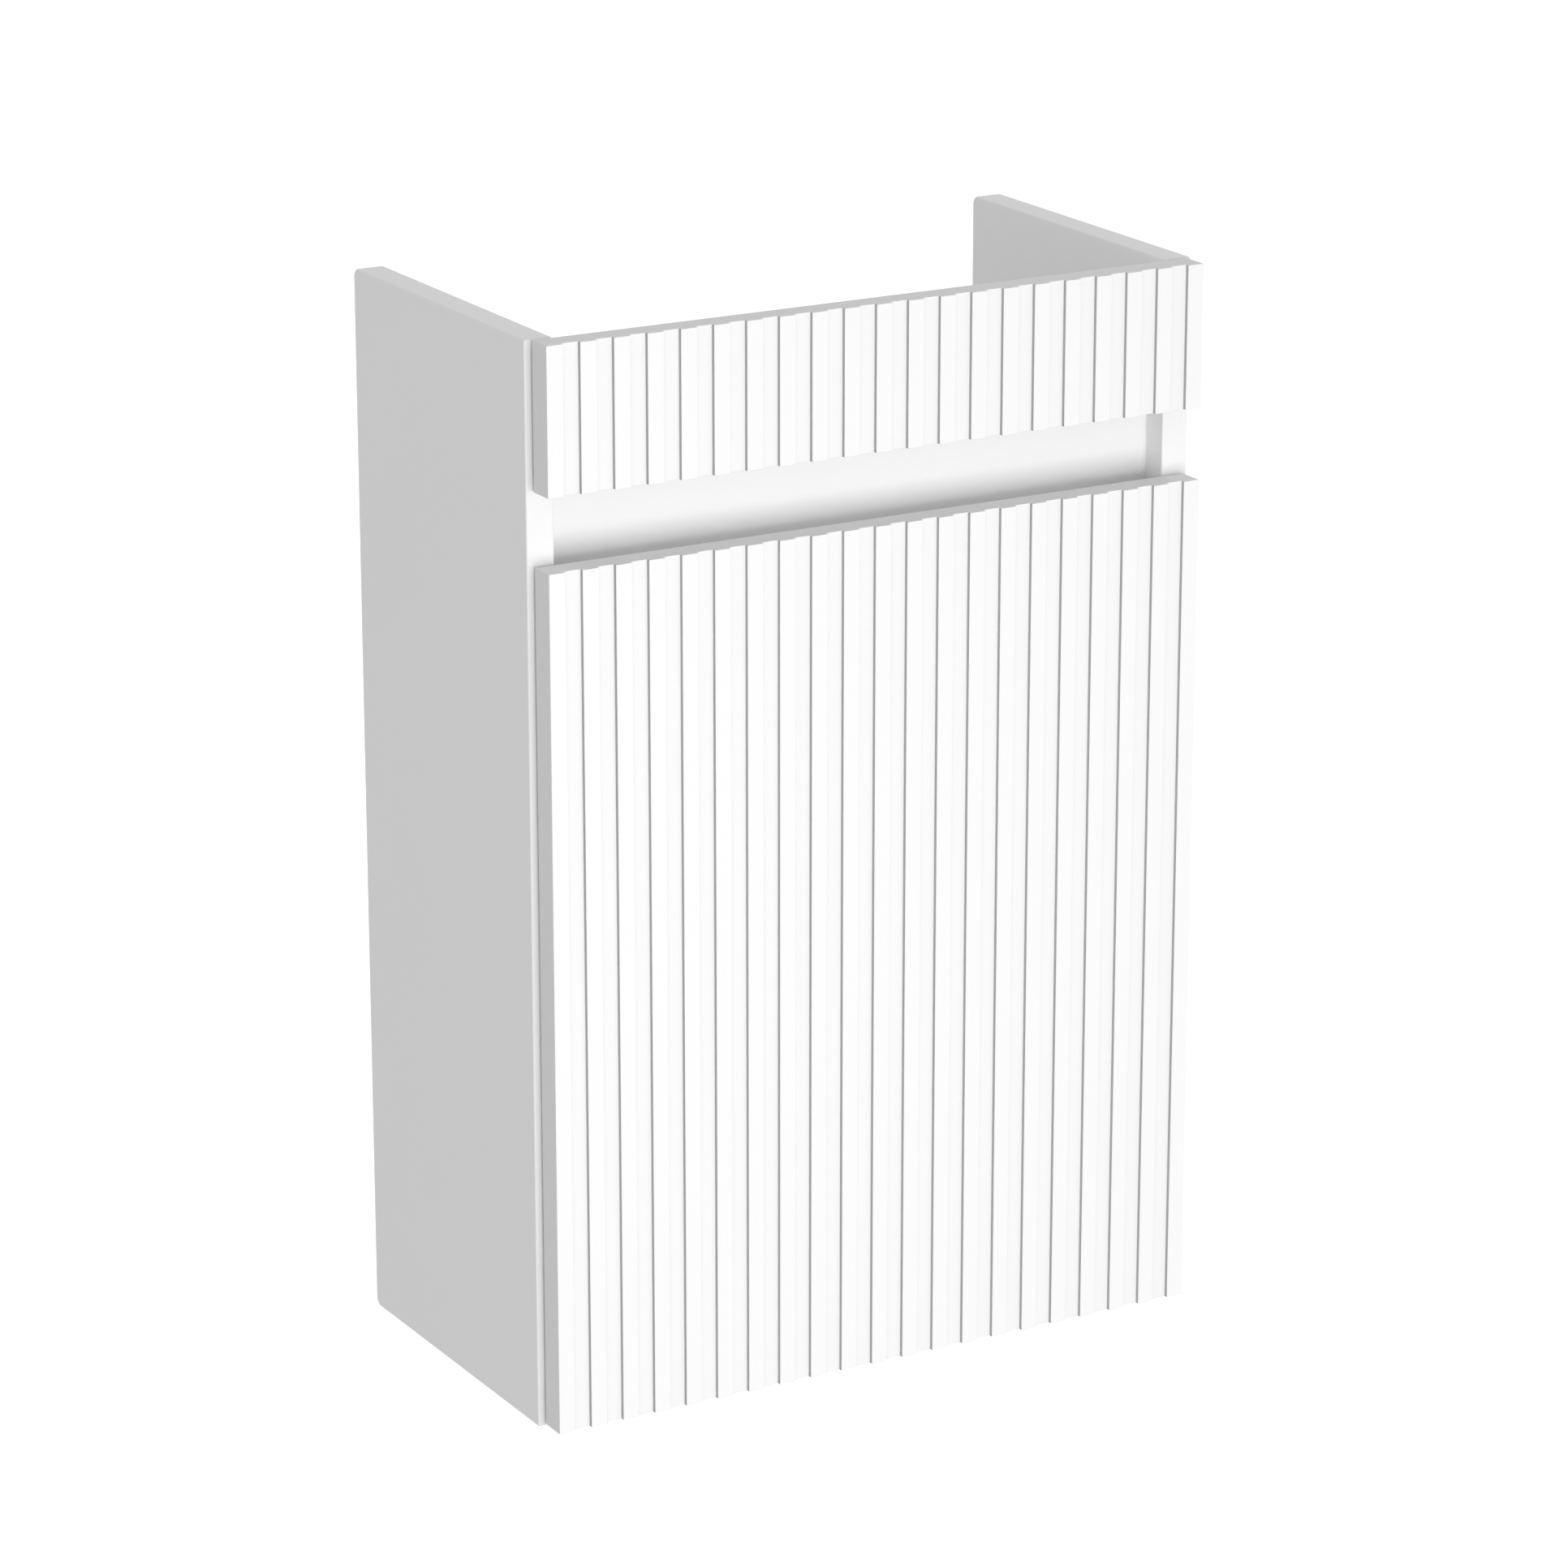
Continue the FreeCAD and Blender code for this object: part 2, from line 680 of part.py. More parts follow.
def hinge_cup(height):
    mouth = hinge_point(cup_middle, 0, height)
    inward = back * -1
    screw_x = cup_middle + cup_screw_offset
    screw_heights = cup_screw_heights(height)
    body = rod(mouth, inward, cup_depth, cup_radius)
    body = body.fuse(rod(mouth, back, flange_thickness, cup_radius + flange_lip))
    body = body.fuse(hinge_box(screw_x - flange_wing_radius, screw_x + flange_wing_radius,
                               0, flange_thickness, *screw_heights))
    for place in screw_heights:
        body = body.fuse(rod(hinge_point(screw_x, 0, place), back, flange_thickness, flange_wing_radius))
    floor = cup_wall - cup_depth
    hollow = rod(hinge_point(cup_middle, floor, height), back, cup_depth + overrun, cup_radius - cup_wall)
    body = body.cut(hollow)
    ear_back = max(deep_cup_pivot[0], outer_cup_pivot[0]) + ear_eye_radius
    ear_front = min(deep_cup_pivot[0], outer_cup_pivot[0]) - ear_eye_radius
    for z0, z1 in layers(ear_low, ear_high, height):
        ear = capsule(deep_cup_pivot, outer_cup_pivot, ear_eye_radius, z0, z1)
        foot = hinge_box(ear_front, ear_back, floor - cup_wall / 2, deep_cup_pivot[1], z0, z1)
        body = body.fuse(ear).fuse(foot)
    half_notch = outer_cheek_high + layer_gap
    cutters = [hinge_box(0, cup_edge_distance + cup_radius / 2, -flange_notch_depth, overrun,
                         height - half_notch, height + half_notch)]
    for pivot in (deep_cup_pivot, outer_cup_pivot):
        cutters.append(disc(pivot, pin_radius + pin_play, height - arm_outside, height + arm_outside))
    for place in screw_heights:
        start = hinge_point(screw_x, -overrun, place)
        cutters.append(rod(start, back, 2 * overrun, cup_screw_radius + close_fit))
    return cut_all(body, cutters).removeSplitter()


def cup_cutters(height):
    # Bore and pilot holes in the back of the door
    inward = back * -1
    cutters = [rod(hinge_point(cup_middle, overrun, height), inward,
                   overrun + cup_depth + cup_bore_room, cup_radius + close_fit)]
    for place in cup_screw_heights(height):
        start = hinge_point(cup_middle + cup_screw_offset, overrun, place)
        cutters.append(rod(start, inward, overrun + cup_screw_length, cup_screw_radius + close_fit))
    return cutters


def cup_screws(height):
    seats = [hinge_point(cup_middle + cup_screw_offset, flange_thickness, place)
             for place in cup_screw_heights(height)]
    return [screw(seat, back * -1, cup_screw_head_radius, cup_screw_head_height,
                  cup_screw_radius, cup_screw_length) for seat in seats]


def cup_pins(height):
    pins = [disc(deep_cup_pivot, pin_radius, height - ear_high, height + ear_high)]
    for z0, z1 in layers(outer_cheek_low, ear_high, height):
        pins.append(disc(outer_cup_pivot, pin_radius, z0, z1))
    return pins


def arm_pins(height):
    return [disc(pivot, pin_radius, height - arm_outside, height + arm_outside)
            for pivot in (deep_arm_pivot, outer_arm_pivot)]


def arm_profile(low_room, top_wall):
    low = side_inner + arm_low - low_room
    top = side_inner + arm_top - top_wall
    tip_x, tip_y = outer_arm_pivot
    return [(tip_x - arm_tip_radius - low_room, tip_y), (tip_x + arm_tip_radius - top_wall, tip_y),
            (top, arm_bend), (top, arm_length), (low, arm_length), (low, arm_bend)]


def hinge_arm(height):
    z0, z1 = height - arm_outside, height + arm_outside
    body = prism(arm_profile(0, 0), z0, z1)
    body = body.fuse(capsule(deep_arm_pivot, outer_arm_pivot, arm_tip_radius, z0, z1))
    z0, z1 = height - arm_inside, height + arm_inside
    hollow = prism(arm_profile(overrun, arm_wall), z0, z1)
    longer = hinge_box(side_inner, side_inner + arm_top - arm_wall, arm_bend, arm_length + overrun, z0, z1)
    tip_room = hinge_box(side_inner, side_inner + arm_top + 2 * overrun, -overrun, arm_web_start, z0, z1)
    cutters = [hollow, longer, tip_room]
    for place in adjust_screw_places:
        start = hinge_point(side_inner + arm_top + overrun, place, height)
        cutters.append(rod(start, right, 2 * overrun, adjust_screw_radius + close_fit))
    for pivot in (deep_arm_pivot, outer_arm_pivot):
        cutters.append(disc(pivot, pin_radius + pin_play,
                            height - 2 * arm_outside, height + 2 * arm_outside))
    return cut_all(body, cutters).removeSplitter()


def hinge_plate(height):
    y = front_gap + plate_setback
    half_spacing = plate_screw_spacing / 2
    inward = right * -1
    body = hinge_box(side_inner, side_inner + plate_thickness, y - plate_wing_radius, y + plate_wing_radius,
                     height - half_spacing, height + half_spacing)
    for way in (-1, 1):
        body = body.fuse(rod(hinge_point(side_inner, y, height + way * half_spacing), inward,
                             plate_thickness, plate_wing_radius))
    body = body.fuse(hinge_box(side_inner, side_inner + plate_body_height, arm_bend + plate_body_margin,
                               arm_length - plate_body_margin, height - ear_high, height + ear_high))
    cutters = []
    for way in (-1, 1):
        start = hinge_point(side_inner - overrun, y, height + way * half_spacing)
        cutters.append(rod(start, inward, plate_thickness + 2 * overrun, plate_screw_radius))
    for place in adjust_screw_places:
        start = hinge_point(side_inner + plate_body_height + overrun, place, height)
        cutters.append(rod(start, right, overrun + adjust_screw_bite + hole_end_room,
                           adjust_screw_radius + close_fit))
    return cut_all(body, cutters).removeSplitter()


def plate_screws():
    return [screw(point(half_inner - plate_thickness, y, height), right, plate_screw_head_radius,
                  plate_screw_head_height, plate_screw_radius - close_fit,
                  plate_thickness + plate_screw_depth) for y, height in plate_screw_places()]


def adjust_screws(height):
    length = arm_top - plate_body_height + adjust_screw_bite
    return [screw(hinge_point(side_inner + arm_top, place, height), right, adjust_head_radius,
                  adjust_head_height, adjust_screw_radius, length) for place in adjust_screw_places]


def hinge_spring(height):
    # A flat spring under the arm's web, curled at its free end
    top = side_inner + arm_top - arm_wall
    z0, z1 = height - spring_half_width, height + spring_half_width
    leaf = hinge_box(top - spring_thickness, top, spring_start, spring_end, z0, z1)
    curl = disc((top - spring_curl_radius, spring_start), spring_curl_radius, z0, z1)
    return leaf.fuse(curl)


def build():
    os.makedirs("parts", exist_ok=True)
    sides = (-1, 1)
    heights = list(hinge_heights.values())
    save("left_side_panel", [side_panel(-1)])
    save("right_side_panel", [side_panel(1)])
    save("bottom_panel", [bottom_panel()])
    save("lower_back_rail", [lower_back_rail()])
    save("hanging_rail", [hanging_rail()])
    save("front_top_rail", [front_top_rail()])
    save("channel_rail", [channel_rail()])
    save("fixed_front_panel", [fixed_front_panel()])
    door_cutters = [cutter for height in heights for cutter in cup_cutters(height)]
    save("door", [cut_all(fluted_front(door_lift, door_top), door_cutters)])
    save("shelf", [shelf_board()])
    save("shelf_pins", [shelf_pin(side, y) for side in sides for y in shelf_pin_ys])
    save("cam_nuts", [cam_nut(side, place) for side in sides for place in all_cams])
    save("cam_bolts", [cam_bolt(side, place) for side in sides for place in all_cams])
    save("cam_caps", [cam_cap(side, place) for side in sides for place in all_cams])
    rail_dowels = [dowel(point(side * bottom_rail_dowel_x, dowel_side_depth - board, middle), back * -1)
                   for side in sides]
    save("dowels", [side_dowel(side, place) for side in sides for place in all_dowels] + rail_dowels)
    save("fixed_panel_spacers", [fixed_panel_spacer(x, height) for x, height in fixed_panel_screw_places()])
    save("fixed_panel_screws", [fixed_panel_screw(x, height) for x, height in fixed_panel_screw_places()])
    save("door_bumpers", [door_bumper(height) for height in
                          (door_lift + bumper_end_distance, door_top - bumper_end_distance)])
    for name, height in hinge_heights.items():
        save(name + "_hinge_cup", [hinge_cup(height)])
        save(name + "_hinge_deep_link", [deep_link(height)])
        save(name + "_hinge_outer_link", [outer_link(height)])
        save(name + "_hinge_arm", [hinge_arm(height)])
        save(name + "_hinge_plate", [hinge_plate(height)])
        save(name + "_hinge_spring", [hinge_spring(height)])
    save("hinge_cup_screws", [piece for height in heights for piece in cup_screws(height)])
    save("hinge_cup_pins", [piece for height in heights for piece in cup_pins(height)])
    save("hinge_arm_pins", [piece for height in heights for piece in arm_pins(height)])
    save("hinge_plate_screws", plate_screws())
    save("hinge_adjust_screws", [piece for height in heights for piece in adjust_screws(height)])


build()
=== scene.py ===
import json
import math
import bmesh
import bpy
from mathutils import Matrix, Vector


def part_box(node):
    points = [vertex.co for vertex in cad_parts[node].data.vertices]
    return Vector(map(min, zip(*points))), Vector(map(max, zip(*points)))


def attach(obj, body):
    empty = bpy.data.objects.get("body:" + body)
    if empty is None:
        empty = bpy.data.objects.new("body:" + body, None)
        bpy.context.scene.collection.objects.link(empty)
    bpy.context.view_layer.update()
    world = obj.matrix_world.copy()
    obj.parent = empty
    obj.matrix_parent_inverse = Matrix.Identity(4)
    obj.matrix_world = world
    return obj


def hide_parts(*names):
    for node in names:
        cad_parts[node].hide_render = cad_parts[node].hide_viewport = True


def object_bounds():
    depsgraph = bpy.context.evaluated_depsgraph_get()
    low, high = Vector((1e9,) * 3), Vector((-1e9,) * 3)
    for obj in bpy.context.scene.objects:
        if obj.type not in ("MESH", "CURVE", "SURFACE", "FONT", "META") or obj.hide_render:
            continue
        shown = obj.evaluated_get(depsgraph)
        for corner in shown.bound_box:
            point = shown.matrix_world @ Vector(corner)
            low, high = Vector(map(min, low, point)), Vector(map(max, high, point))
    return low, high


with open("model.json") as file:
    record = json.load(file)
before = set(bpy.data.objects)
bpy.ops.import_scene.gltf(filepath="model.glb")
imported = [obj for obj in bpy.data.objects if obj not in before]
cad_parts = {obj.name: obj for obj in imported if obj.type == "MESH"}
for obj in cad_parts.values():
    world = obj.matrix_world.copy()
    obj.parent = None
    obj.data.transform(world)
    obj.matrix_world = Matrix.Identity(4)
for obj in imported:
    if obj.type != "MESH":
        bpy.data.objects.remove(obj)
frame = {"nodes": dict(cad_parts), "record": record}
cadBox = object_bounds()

print("frame loaded,", len(frame["nodes"]), "nodes")

mm = 0.001
weldGap = 0.001            # mm, points this near are one
largestFacesOnly = 100     # Weighted Normal's strongest setting


# Small helpers

def hexColour(code):
    # sRGB hex to the linear values that shaders take
    parts = [int(code[i:i + 2], 16) / 255 for i in (1, 3, 5)]
    linear = [p / 12.92 if p <= 0.04045 else ((p + 0.055) / 1.055) ** 2.4 for p in parts]
    return (*linear, 1.0)


def addNode(tree, kind, settings=None):
    # A key is an attribute, or an input by its name or number. A value that is a socket is linked.
    node = tree.nodes.new(kind)
    for key, value in (settings or {}).items():
        if isinstance(value, bpy.types.NodeSocket):
            tree.links.new(value, node.inputs[key])
        elif isinstance(key, str) and hasattr(node, key):
            setattr(node, key, value)
        else:
            node.inputs[key].default_value = value
    return node


def newMaterial(name):
    material = bpy.data.materials.new(name)
    material.use_nodes = True
    material.node_tree.nodes.clear()
    return material, material.node_tree


def newObject(name, data):
    item = bpy.data.objects.new(name, data)
    bpy.context.scene.collection.objects.link(item)
    return item


def pointAt(item, place, aim):
    # Puts a lamp or camera at its place and turns its -Z axis to the aim, both in metres
    item.location = place
    item.rotation_euler = (Vector(place) - Vector(aim)).to_track_quat("Z", "Y").to_euler()


def weldedShape(node):
    # The frame's meshes are loose triangles, so their corners are joined first
    shape = bmesh.new()
    shape.from_mesh(frame["nodes"][node].data)
    bmesh.ops.remove_doubles(shape, verts=shape.verts, dist=weldGap * mm)
    return shape


def bakeMesh(source):
    # What the modifiers give, as a plain mesh object that takes the source's name and place
    name = source.name
    bpy.context.view_layer.update()
    evaluated = source.evaluated_get(bpy.context.evaluated_depsgraph_get())
    mesh = bpy.data.meshes.new_from_object(evaluated)
    bpy.data.objects.remove(source)
    return newObject(name, mesh)


def addBevel(piece, radius, segments, degrees):
    # Rounds the edges that turn by more than the given degrees, radius in mm
    soft = piece.modifiers.new("softEdges", "BEVEL")
    soft.width = radius * mm
    soft.segments = segments
    soft.limit_method = "ANGLE"
    soft.angle_limit = math.radians(degrees)


def bakeSmooth(piece):
    # The largest faces alone set the normals, so flat ones look flat up to their rounded edges
    weigh = piece.modifiers.new("weighted", "WEIGHTED_NORMAL")
    weigh.weight = largestFacesOnly
    return bakeMesh(piece)


# Finishes

foilFinish = {
    "colour": "#F4F4F4",
    "flankPaintedShade": "#B4B4B4",  # painted shade on the grooves' sides, a grey that stands in for the shade in the grooves
    "roughness": 0.40,
    "sheenSpread": 0.03,   # each way
    # the grooves' sides are rougher, where the cutter leaves the foil dull
    "flankRoughness": 0.65,
    "pebble": 1.1,         # mm, width of the foil's faint orange peel
    "pebbleDepth": 0.004,  # mm
    "pebbleDetail": 2.0,
    "bumpStrength": 0.5,
    "clouding": 60.0,      # mm, very weak unevenness of the sheen
    "cloudingDetail": 1.0,
    "ior": 1.5,
}


def makeFoilWrap():
    # Thermo-wrapped satin foil on milled fibreboard: flat white with a soft sheen and a faint
    # orange peel. The flank attribute greys the steep sides of the ridges as painted shade, so
    # they read as thin dark lines from a distance, and makes them rougher.
    material, tree = newMaterial("satinFoilWrap")
    place = addNode(tree, "ShaderNodeTexCoord").outputs["Object"]
    flankDullAndShade = addNode(tree, "ShaderNodeAttribute", {"attribute_name": "flankDullAndShade"}).outputs["Fac"]
    pebble = addNode(tree, "ShaderNodeTexNoise", {
        "Scale": 1 / (foilFinish["pebble"] * mm), "Detail": foilFinish["pebbleDetail"],
        "Vector": place})
    cloud = addNode(tree, "ShaderNodeTexNoise", {
        "Scale": 1 / (foilFinish["clouding"] * mm), "Detail": foilFinish["cloudingDetail"],
        "Vector": place})
    sheen = addNode(tree, "ShaderNodeMapRange", {
        "To Min": foilFinish["roughness"] - foilFinish["sheenSpread"],
        "To Max": foilFinish["roughness"] + foilFinish["sheenSpread"],
        "Value": cloud.outputs["Fac"]})
    dull = addNode(tree, "ShaderNodeMix", {
        "data_type": "FLOAT", 0: flankDullAndShade, 2: sheen.outputs["Result"],
        3: foilFinish["flankRoughness"]})
    # painted shade: the flank attribute mixes the foil's white towards grey on the flanks, and a
    # little on the panel's ends, top and bottom
    tint = addNode(tree, "ShaderNodeMix", {
        "data_type": "RGBA", 0: flankDullAndShade, 6: hexColour(foilFinish["colour"]),
        7: hexColour(foilFinish["flankPaintedShade"])})
    bump = addNode(tree, "ShaderNodeBump", {
        "Strength": foilFinish["bumpStrength"], "Distance": foilFinish["pebbleDepth"] * mm,
        "Height": pebble.outputs["Fac"]})
    shader = addNode(tree, "ShaderNodeBsdfPrincipled", {
        "IOR": foilFinish["ior"], "Base Color": tint.outputs[2], "Roughness": dull.outputs[0],
        "Normal": bump.outputs["Normal"]})
    addNode(tree, "ShaderNodeOutputMaterial", {"Surface": shader.outputs["BSDF"]})
    return material


boardFinish = {
    "colour": "#F3F3F3",
    "roughness": 0.45,
    "sheenSpread": 0.03,   # each way
    "pearl": 0.7,          # mm, grain of the pressed pearl texture
    "pearlDepth": 0.006,   # mm
    "pearlDetail": 3.0,
    "bumpStrength": 0.5,
    "patches": 90.0,       # mm, very weak unevenness of the sheen
    "patchesDetail": 1.0,
    "ior": 1.5,
}


def makeSatinBoard():
    # Melamine-faced board with a pressed pearl texture: white, a little flatter than the foil
    material, tree = newMaterial("satinMelamine")
    place = addNode(tree, "ShaderNodeTexCoord").outputs["Object"]
    pearl = addNode(tree, "ShaderNodeTexNoise", {
        "Scale": 1 / (boardFinish["pearl"] * mm), "Detail": boardFinish["pearlDetail"],
        "Vector": place})
    patch = addNode(tree, "ShaderNodeTexNoise", {
        "Scale": 1 / (boardFinish["patches"] * mm), "Detail": boardFinish["patchesDetail"],
        "Vector": place})
    sheen = addNode(tree, "ShaderNodeMapRange", {
        "To Min": boardFinish["roughness"] - boardFinish["sheenSpread"],
        "To Max": boardFinish["roughness"] + boardFinish["sheenSpread"],
        "Value": patch.outputs["Fac"]})
    bump = addNode(tree, "ShaderNodeBump", {
        "Strength": boardFinish["bumpStrength"], "Distance": boardFinish["pearlDepth"] * mm,
        "Height": pearl.outputs["Fac"]})
    shader = addNode(tree, "ShaderNodeBsdfPrincipled", {
        "Base Color": hexColour(boardFinish["colour"]), "IOR": boardFinish["ior"],
        "Roughness": sheen.outputs["Result"], "Normal": bump.outputs["Normal"]})
    addNode(tree, "ShaderNodeOutputMaterial", {"Surface": shader.outputs["BSDF"]})
    return material


# Grain and depth are in mm. The grain is drawn coarser than real plating has it, so that it shows.
# Cast zinc is a satin grey, zinc plating pale and bright, nickel a little warmer and glossier,
# and bare spring steel darker.
metalFinishes = {
    "castZinc": {"colour": "#B4B6B9", "roughness": 0.42, "grain": 0.6, "depth": 0.01},
    "zincPlatedSteel": {"colour": "#C6C7C4", "roughness": 0.30, "grain": 0.4, "depth": 0.004},
    "nickelPlatedSteel": {"colour": "#C9C7C2", "roughness": 0.24, "grain": 0.5, "depth": 0.003},
    "brightSpringSteel": {"colour": "#A9A9A8", "roughness": 0.22, "grain": 0.3, "depth": 0.003},
}
metalSpread = 0.06         # of the roughness, each way
metalDetail = 3.0          # of the noise
mouldedBump = 0.4          # strength, on metal and on plastic


def makeMetal(name):
    # Plated steel or cast zinc: a fine uneven surface breaks up its reflections
    values = metalFinishes[name]
    material, tree = newMaterial(name)
    place = addNode(tree, "ShaderNodeTexCoord").outputs["Object"]
    noise = addNode(tree, "ShaderNodeTexNoise", {
        "Scale": 1 / (values["grain"] * mm), "Detail": metalDetail,
        "Vector": place}).outputs["Fac"]
    spread = addNode(tree, "ShaderNodeMapRange", {
        "To Min": values["roughness"] - metalSpread, "To Max": values["roughness"] + metalSpread,
        "Value": noise})
    bump = addNode(tree, "ShaderNodeBump", {
        "Strength": mouldedBump, "Distance": values["depth"] * mm, "Height": noise})
    shader = addNode(tree, "ShaderNodeBsdfPrincipled", {
        "Base Color": hexColour(values["colour"]), "Metallic": 1.0,
        "Roughness": spread.outputs["Result"], "Normal": bump.outputs["Normal"]})
    addNode(tree, "ShaderNodeOutputMaterial", {"Surface": shader.outputs["BSDF"]})
    return material


# Grain and depth are in mm, and clear is the share of the light that goes through.
# The grain is drawn coarser than a real mould's, so that it shows.
plasticFinishes = {
    "mouldedWhiteCap": {
        "colour": "#F0F0EE", "roughness": 0.35, "grain": 0.5, "depth": 0.004, "clear": 0.0},
    "mouldedGreySpacer": {
        "colour": "#C4C4C2", "roughness": 0.50, "grain": 0.6, "depth": 0.01, "clear": 0.0},
    "clearSoftBumper": {
        "colour": "#DEE1E1", "roughness": 0.22, "grain": 0.8, "depth": 0.004, "clear": 0.15},
}
plasticIor = 1.46
plasticDetail = 2.0        # of the noise


def makePlastic(name):
    # Moulded plastic: an even colour with the faint texture of its mould
    values = plasticFinishes[name]
    material, tree = newMaterial(name)
    place = addNode(tree, "ShaderNodeTexCoord").outputs["Object"]
    noise = addNode(tree, "ShaderNodeTexNoise", {
        "Scale": 1 / (values["grain"] * mm), "Detail": plasticDetail, "Vector": place})
    bump = addNode(tree, "ShaderNodeBump", {
        "Strength": mouldedBump, "Distance": values["depth"] * mm, "Height": noise.outputs["Fac"]})
    shader = addNode(tree, "ShaderNodeBsdfPrincipled", {
        "Base Color": hexColour(values["colour"]), "Roughness": values["roughness"],
        "IOR": plasticIor, "Transmission Weight": values["clear"],
        "Normal": bump.outputs["Normal"]})
    addNode(tree, "ShaderNodeOutputMaterial", {"Surface": shader.outputs["BSDF"]})
    return material


beechFinish = {
    "dark": "#B08A5E",
    "light": "#D9B98C",
    "roughness": 0.6,
    "fleck": 0.9,          # mm, width of a fleck
    "fleckDetail": 3.0,
    "stretch": 0.15,       # along the grain
}


def makeBeech():
    # Turned beech: warm pale wood with short darker flecks along the grain
    material, tree = newMaterial("turnedBeech")
    place = addNode(tree, "ShaderNodeTexCoord").outputs["Object"]
    along = addNode(tree, "ShaderNodeMapping", {
        "Scale": (beechFinish["stretch"], 1.0, 1.0), "Vector": place})
    fleck = addNode(tree, "ShaderNodeTexNoise", {
        "Scale": 1 / (beechFinish["fleck"] * mm), "Detail": beechFinish["fleckDetail"],
        "Vector": along.outputs["Vector"]})
    ramp = addNode(tree, "ShaderNodeValToRGB", {"Fac": fleck.outputs["Fac"]})
    ramp.color_ramp.elements[0].color = hexColour(beechFinish["dark"])
    ramp.color_ramp.elements[1].color = hexColour(beechFinish["light"])
    shader = addNode(tree, "ShaderNodeBsdfPrincipled", {
        "Roughness": beechFinish["roughness"], "Base Color": ramp.outputs["Color"]})
    addNode(tree, "ShaderNodeOutputMaterial", {"Surface": shader.outputs["BSDF"]})
    return material


finishes = {
    "white_front": makeFoilWrap(),
    "white_board": makeSatinBoard(),
    "zinc_casting": makeMetal("castZinc"),
    "zinc_screws": makeMetal("zincPlatedSteel"),
    "hinge_steel": makeMetal("nickelPlatedSteel"),
    "spring_steel": makeMetal("brightSpringSteel"),
    "white_caps": makePlastic("mouldedWhiteCap"),
    "grey_spacers": makePlastic("mouldedGreySpacer"),
    "clear_bumpers": makePlastic("clearSoftBumper"),
    "beech": makeBeech(),
}
slotOf = {entry["node"]: entry["material_slot"] for entry in frame["record"]["subparts"]}
bodies = frame["record"]["behaviour"]["bodies"]
bodyOf = {node: body for body, nodes in bodies.items() for node in nodes}
for node, item in frame["nodes"].items():
    item.data.materials.clear()
    item.data.materials.append(finishes[slotOf[node]])
print("finishes made")


# Geometry trees

def newTree(name, inputs):
    # Each input's kind is the last word of its socket type
    tree = bpy.data.node_groups.new(name, "GeometryNodeTree")
    tree.interface.new_socket("Geometry", in_out="INPUT", socket_type="NodeSocketGeometry")
    for title, kind in inputs.items():
        tree.interface.new_socket(title, in_out="INPUT", socket_type="NodeSocket" + kind)
    tree.interface.new_socket("Geometry", in_out="OUTPUT", socket_type="NodeSocketGeometry")
    return tree, addNode(tree, "NodeGroupInput").outputs


def closeTree(tree, geometry, finish):
    # Real geometry with its material, because the export drops instances
    real = addNode(tree, "GeometryNodeRealizeInstances", {"Geometry": geometry})
    painted = addNode(tree, "GeometryNodeSetMaterial", {
        "Geometry": real.outputs["Geometry"], "Material": finish})
    addNode(tree, "NodeGroupOutput", {"Geometry": painted.outputs["Geometry"]})


def growPiece(name, mesh, tree, values):
    # A new object that the tree shapes. The modifier takes each input by its socket's identifier.
    piece = newObject(name, mesh)
    grown = piece.modifiers.new(tree.name, "NODES")
    grown.node_group = tree
    for item in tree.interface.items_tree:
        if item.in_out == "INPUT" and item.name in values:
            grown[item.identifier] = values[item.name]
    return piece


# Fluted fronts

frontShape = {
    "ridges": 21,
    "fluteDepth": 2.3,     # mm
    "edgeRadius": 0.3,     # mm, ridge edges, groove corners and the panel's own edges
    "edgeSegments": 3,
    "edgeAngle": 60,       # degrees, sharper turns are rounded
    "endPaintedShade": 0.25,    # how far the panel's own ends, top and bottom go towards the flanks' painted shade
    "endStrip": 1.0,       # mm from the panel's ends, where a side face is an end and not a flank
    "squareness": 0.9,     # of a face's direction, from which it counts as facing sideways or up
    "boreRadius": 17.6,    # mm, for the hinge cups in the door's back
    "boreDepth": 11.5,     # mm
    "boreSides": 96,
    "weld": 0.01,          # mm
}


